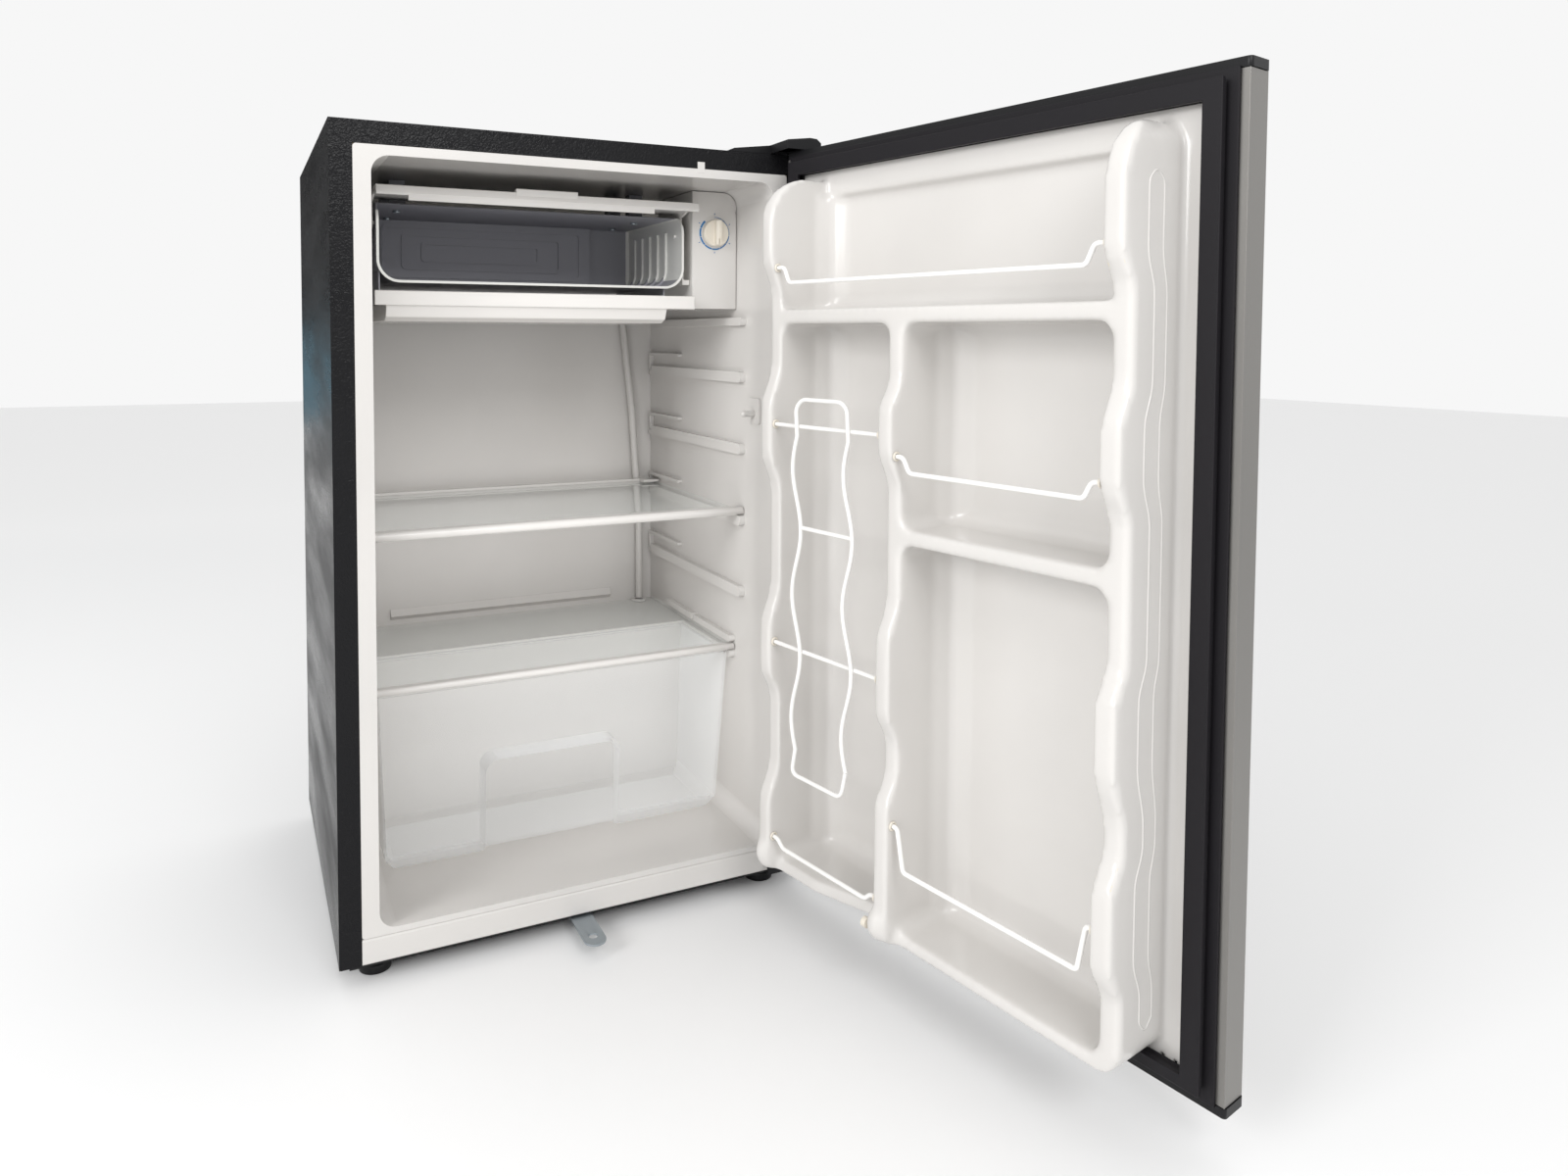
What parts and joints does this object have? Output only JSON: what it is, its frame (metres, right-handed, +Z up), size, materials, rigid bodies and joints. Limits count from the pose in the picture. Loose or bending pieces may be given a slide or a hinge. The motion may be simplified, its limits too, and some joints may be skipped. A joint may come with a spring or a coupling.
{
  "type": "mini fridge",
  "caption": "Compact refrigerator with an open hinged door, freezer box with flap, drip tray, glass shelves, clear drawer and door bins with wire retainers.",
  "frame": {"origin": "on the floor in the middle of the four feet", "axes": "+Z up, +X to the right and -Y to the front when looking at the open cabinet"},
  "size_m": [0.5746, 0.8817, 0.8046],
  "materials": {
    "aluminium": "satin",
    "black_metal": "satin",
    "black_plastic": "matte",
    "black_steel": "stucco",
    "clear_plastic": "clear",
    "copper": "satin",
    "dial_ink": "matte",
    "foam": "matte",
    "gasket": "matte",
    "glass": "clear",
    "ivory_plastic": "satin",
    "rubber": "matte",
    "silver_steel": "satin",
    "white_plastic": "satin",
    "white_wire": "gloss",
    "zinc": "satin"
  },
  "bodies": {
    "cabinet": {"outer_shell": "black_steel", "back_panel": "black_steel", "back_screws": "zinc", "compressor_bay_panel": "zinc", "base_frame": "black_metal", "cabinet_foam": "foam", "inner_liner": "white_plastic", "bottom_trim": "white_plastic", "evaporator": "aluminium", "evaporator_screws": "zinc", "evaporator_clip": "white_plastic", "thermostat_housing": "white_plastic", "thermostat_body": "zinc", "dial_scale": "dial_ink", "suction_sleeve": "white_plastic", "line_grommet": "white_plastic", "top_hinge_plate": "black_metal", "hinge_cover": "black_plastic", "hinge_screws": "zinc", "lower_hinge_bracket": "black_metal", "rear_feet": "black_plastic", "lock_strap": "zinc", "switch_housing": "white_plastic", "compressor": "black_metal", "compressor_grommets": "rubber", "compressor_rail": "zinc", "relay_cover": "black_plastic", "condenser_coil": "copper", "filter_drier": "copper", "bay_tubes": "copper", "water_pan": "black_plastic", "cord_gland": "black_plastic"},
    "door": {"door_skin": "silver_steel", "door_top_cap": "black_plastic", "door_bottom_cap": "black_plastic", "door_foam": "foam", "door_liner": "white_plastic", "door_gasket": "gasket", "door_bushes": "white_plastic", "top_bin_wire": "white_wire", "can_rack": "white_wire", "can_bin_wire": "white_wire", "shelf_bin_wire": "white_wire", "bottle_bin_wire": "white_wire", "wire_bushes": "white_plastic"},
    "flap": {"freezer_flap": "white_plastic"},
    "tray": {"drip_tray": "white_plastic"},
    "shelf": {"shelf_glass": "glass", "shelf_trim": "white_plastic"},
    "crisper_cover": {"crisper_glass": "glass", "crisper_trim": "white_plastic"},
    "drawer": {"crisper_drawer": "clear_plastic"},
    "knob": {"thermostat_knob": "ivory_plastic"},
    "foot_left": {"foot_front_left": "black_plastic"},
    "foot_right": {"foot_front_right": "black_plastic"},
    "plunger": {"switch_plunger": "white_plastic"}
  },
  "joints": [
    {"name": "door_hinge", "type": "hinge", "parent": "cabinet", "child": "door", "pos_m": [0.228, -0.2235, 0.42], "axis": [0, 0, 1], "range_deg": [-101.7, 20]},
    {"name": "flap_pivot", "type": "hinge", "parent": "cabinet", "child": "flap", "pos_m": [-0.025, -0.089, 0.712], "axis": [1, 0, 0], "range_deg": [0, 90]},
    {"name": "tray_slide", "type": "slide", "parent": "cabinet", "child": "tray", "axis": [0, -1, 0], "range_m": [0, 0.15]},
    {"name": "shelf_slide", "type": "slide", "parent": "cabinet", "child": "shelf", "axis": [0, -1, 0], "range_m": [0, 0.1]},
    {"name": "cover_slide", "type": "slide", "parent": "cabinet", "child": "crisper_cover", "axis": [0, -1, 0], "range_m": [0, 0.08]},
    {"name": "drawer_slide", "type": "slide", "parent": "cabinet", "child": "drawer", "axis": [0, -1, 0], "range_m": [0, 0.12]},
    {"name": "knob_turn", "type": "hinge", "parent": "cabinet", "child": "knob", "pos_m": [0.176, -0.11, 0.7155], "axis": [0, 1, 0], "range_deg": [-180, 120]},
    {"name": "foot_left_turn", "type": "hinge", "parent": "cabinet", "child": "foot_left", "pos_m": [-0.205, -0.168, 0.008], "axis": [0, 0, 1], "range_deg": [-360, 360]},
    {"name": "foot_right_turn", "type": "hinge", "parent": "cabinet", "child": "foot_right", "pos_m": [0.205, -0.168, 0.008], "axis": [0, 0, 1], "range_deg": [-360, 360]},
    {"name": "plunger_slide", "type": "slide", "parent": "cabinet", "child": "plunger", "axis": [1, 0, 0], "range_m": [-0.003, 0.013]}
  ],
  "couplings": [
    {"joint": "plunger_slide", "follows": "door_hinge", "m_per_rad": -0.0073239}
  ]
}
